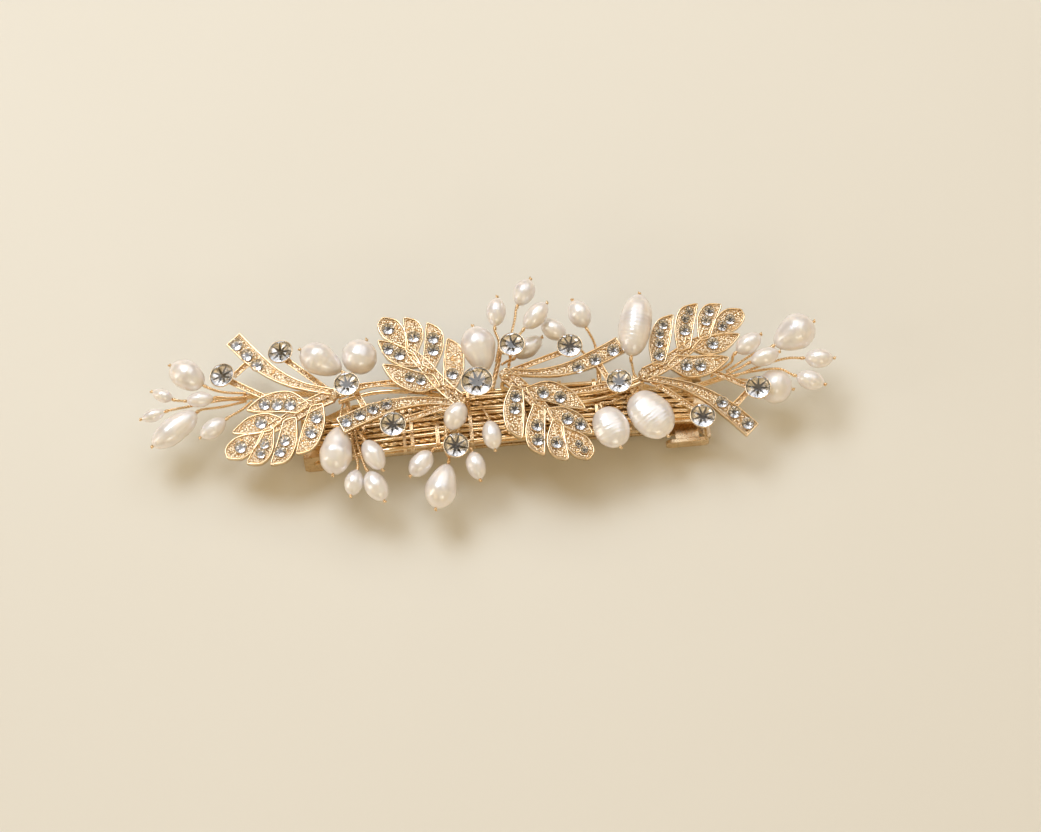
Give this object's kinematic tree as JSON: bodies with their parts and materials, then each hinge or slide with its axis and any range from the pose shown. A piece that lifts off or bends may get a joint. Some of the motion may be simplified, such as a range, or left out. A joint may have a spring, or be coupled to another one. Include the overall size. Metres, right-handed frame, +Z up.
{
  "type": "hair_barrette",
  "caption": "French clip barrette with pierced leaf-and-ribbon castings set with clear stones, and wired sprays of white freshwater pearls on a gold-coloured backbone",
  "frame": {"origin": "middle of the whole barrette's bounding box in plan, on the plane its clip stands on (z=0)", "axes": "+X runs along the clip from its hinge end to its latch end, +Y runs across it towards the back of the spray, +Z points up out of the ornament's face, away from the hair"},
  "size_m": [0.117, 0.0385, 0.0164],
  "materials": {
    "clip_gold": "satin gold-plated strip metal",
    "jewel_gold": "polished champagne-gold plating over cast and drawn metal",
    "clear_stone": "faceted clear rhinestone, foiled back",
    "pearl_nacre": null
  },
  "bodies": {
    "ornament": {"clip_plate": "clip_gold", "hinge_pin": "clip_gold", "latch_saddle": "clip_gold", "backbone_wires": "jewel_gold", "binding_wires": "jewel_gold", "casting_left_outer": "jewel_gold", "casting_left_inner": "jewel_gold", "casting_right_inner": "jewel_gold", "casting_right_outer": "jewel_gold", "centre_setting": "jewel_gold", "wire_settings": "jewel_gold", "wires_left": "jewel_gold", "wires_upleft": "jewel_gold", "wires_frontleft": "jewel_gold", "wires_front": "jewel_gold", "wires_back": "jewel_gold", "wires_midright": "jewel_gold", "wires_right": "jewel_gold", "pave_stones": "clear_stone", "chaton_stones": "clear_stone", "centre_stone": "clear_stone", "pearl_left_round": "pearl_nacre", "pearl_left_long": "pearl_nacre", "rice_left_1": "pearl_nacre", "rice_left_2": "pearl_nacre", "rice_left_3": "pearl_nacre", "rice_left_4": "pearl_nacre", "pearl_upleft_outer": "pearl_nacre", "pearl_upleft_inner": "pearl_nacre", "pearl_frontleft_drop": "pearl_nacre", "rice_frontleft_1": "pearl_nacre", "rice_frontleft_2": "pearl_nacre", "rice_frontleft_3": "pearl_nacre", "rice_front_1": "pearl_nacre", "rice_front_2": "pearl_nacre", "pearl_front_drop": "pearl_nacre", "rice_front_3": "pearl_nacre", "rice_front_4": "pearl_nacre", "pearl_back_drop": "pearl_nacre", "rice_back_1": "pearl_nacre", "rice_back_2": "pearl_nacre", "rice_back_3": "pearl_nacre", "rice_back_4": "pearl_nacre", "rice_back_5": "pearl_nacre", "rice_back_6": "pearl_nacre", "pearl_ridged": "pearl_nacre", "pearl_right_button": "pearl_nacre", "pearl_right_large": "pearl_nacre", "rice_right_1": "pearl_nacre", "rice_right_2": "pearl_nacre", "pearl_right_round": "pearl_nacre", "rice_right_3": "pearl_nacre", "rice_right_4": "pearl_nacre", "pearl_right_low": "pearl_nacre"},
    "arm": {"clasp_arm": "clip_gold"},
    "bow": {"bow_spring": "clip_gold"},
    "ear_front": {"latch_ear_front": "clip_gold"},
    "ear_rear": {"latch_ear_rear": "clip_gold"}
  },
  "joints": [
    {"name": "arm_hinge", "type": "hinge", "parent": "ornament", "child": "arm", "pos_m": [-0.0283, -0.00285, 0.0029], "axis": [0, 1, 0], "range_deg": [0, 95]},
    {"name": "bow_hinge", "type": "hinge", "parent": "ornament", "child": "bow", "pos_m": [-0.0283, -0.00285, 0.0029], "axis": [0, 1, 0], "range_deg": [0, 47.5]},
    {"name": "latch_squeeze_front", "type": "hinge", "parent": "ornament", "child": "ear_front", "pos_m": [0.0333, -0.00445, 0.005], "axis": [0.9894, 0, -0.1451], "range_deg": [0, 7], "stiffness_Nm_per_rad": 0.05},
    {"name": "latch_squeeze_rear", "type": "hinge", "parent": "ornament", "child": "ear_rear", "pos_m": [0.0333, -0.00125, 0.005], "axis": [0.9894, 0, -0.1451], "range_deg": [-7, 0], "stiffness_Nm_per_rad": 0.05}
  ],
  "couplings": [
    {"joint": "bow_hinge", "follows": "arm_hinge", "ratio": 0.5}
  ]
}
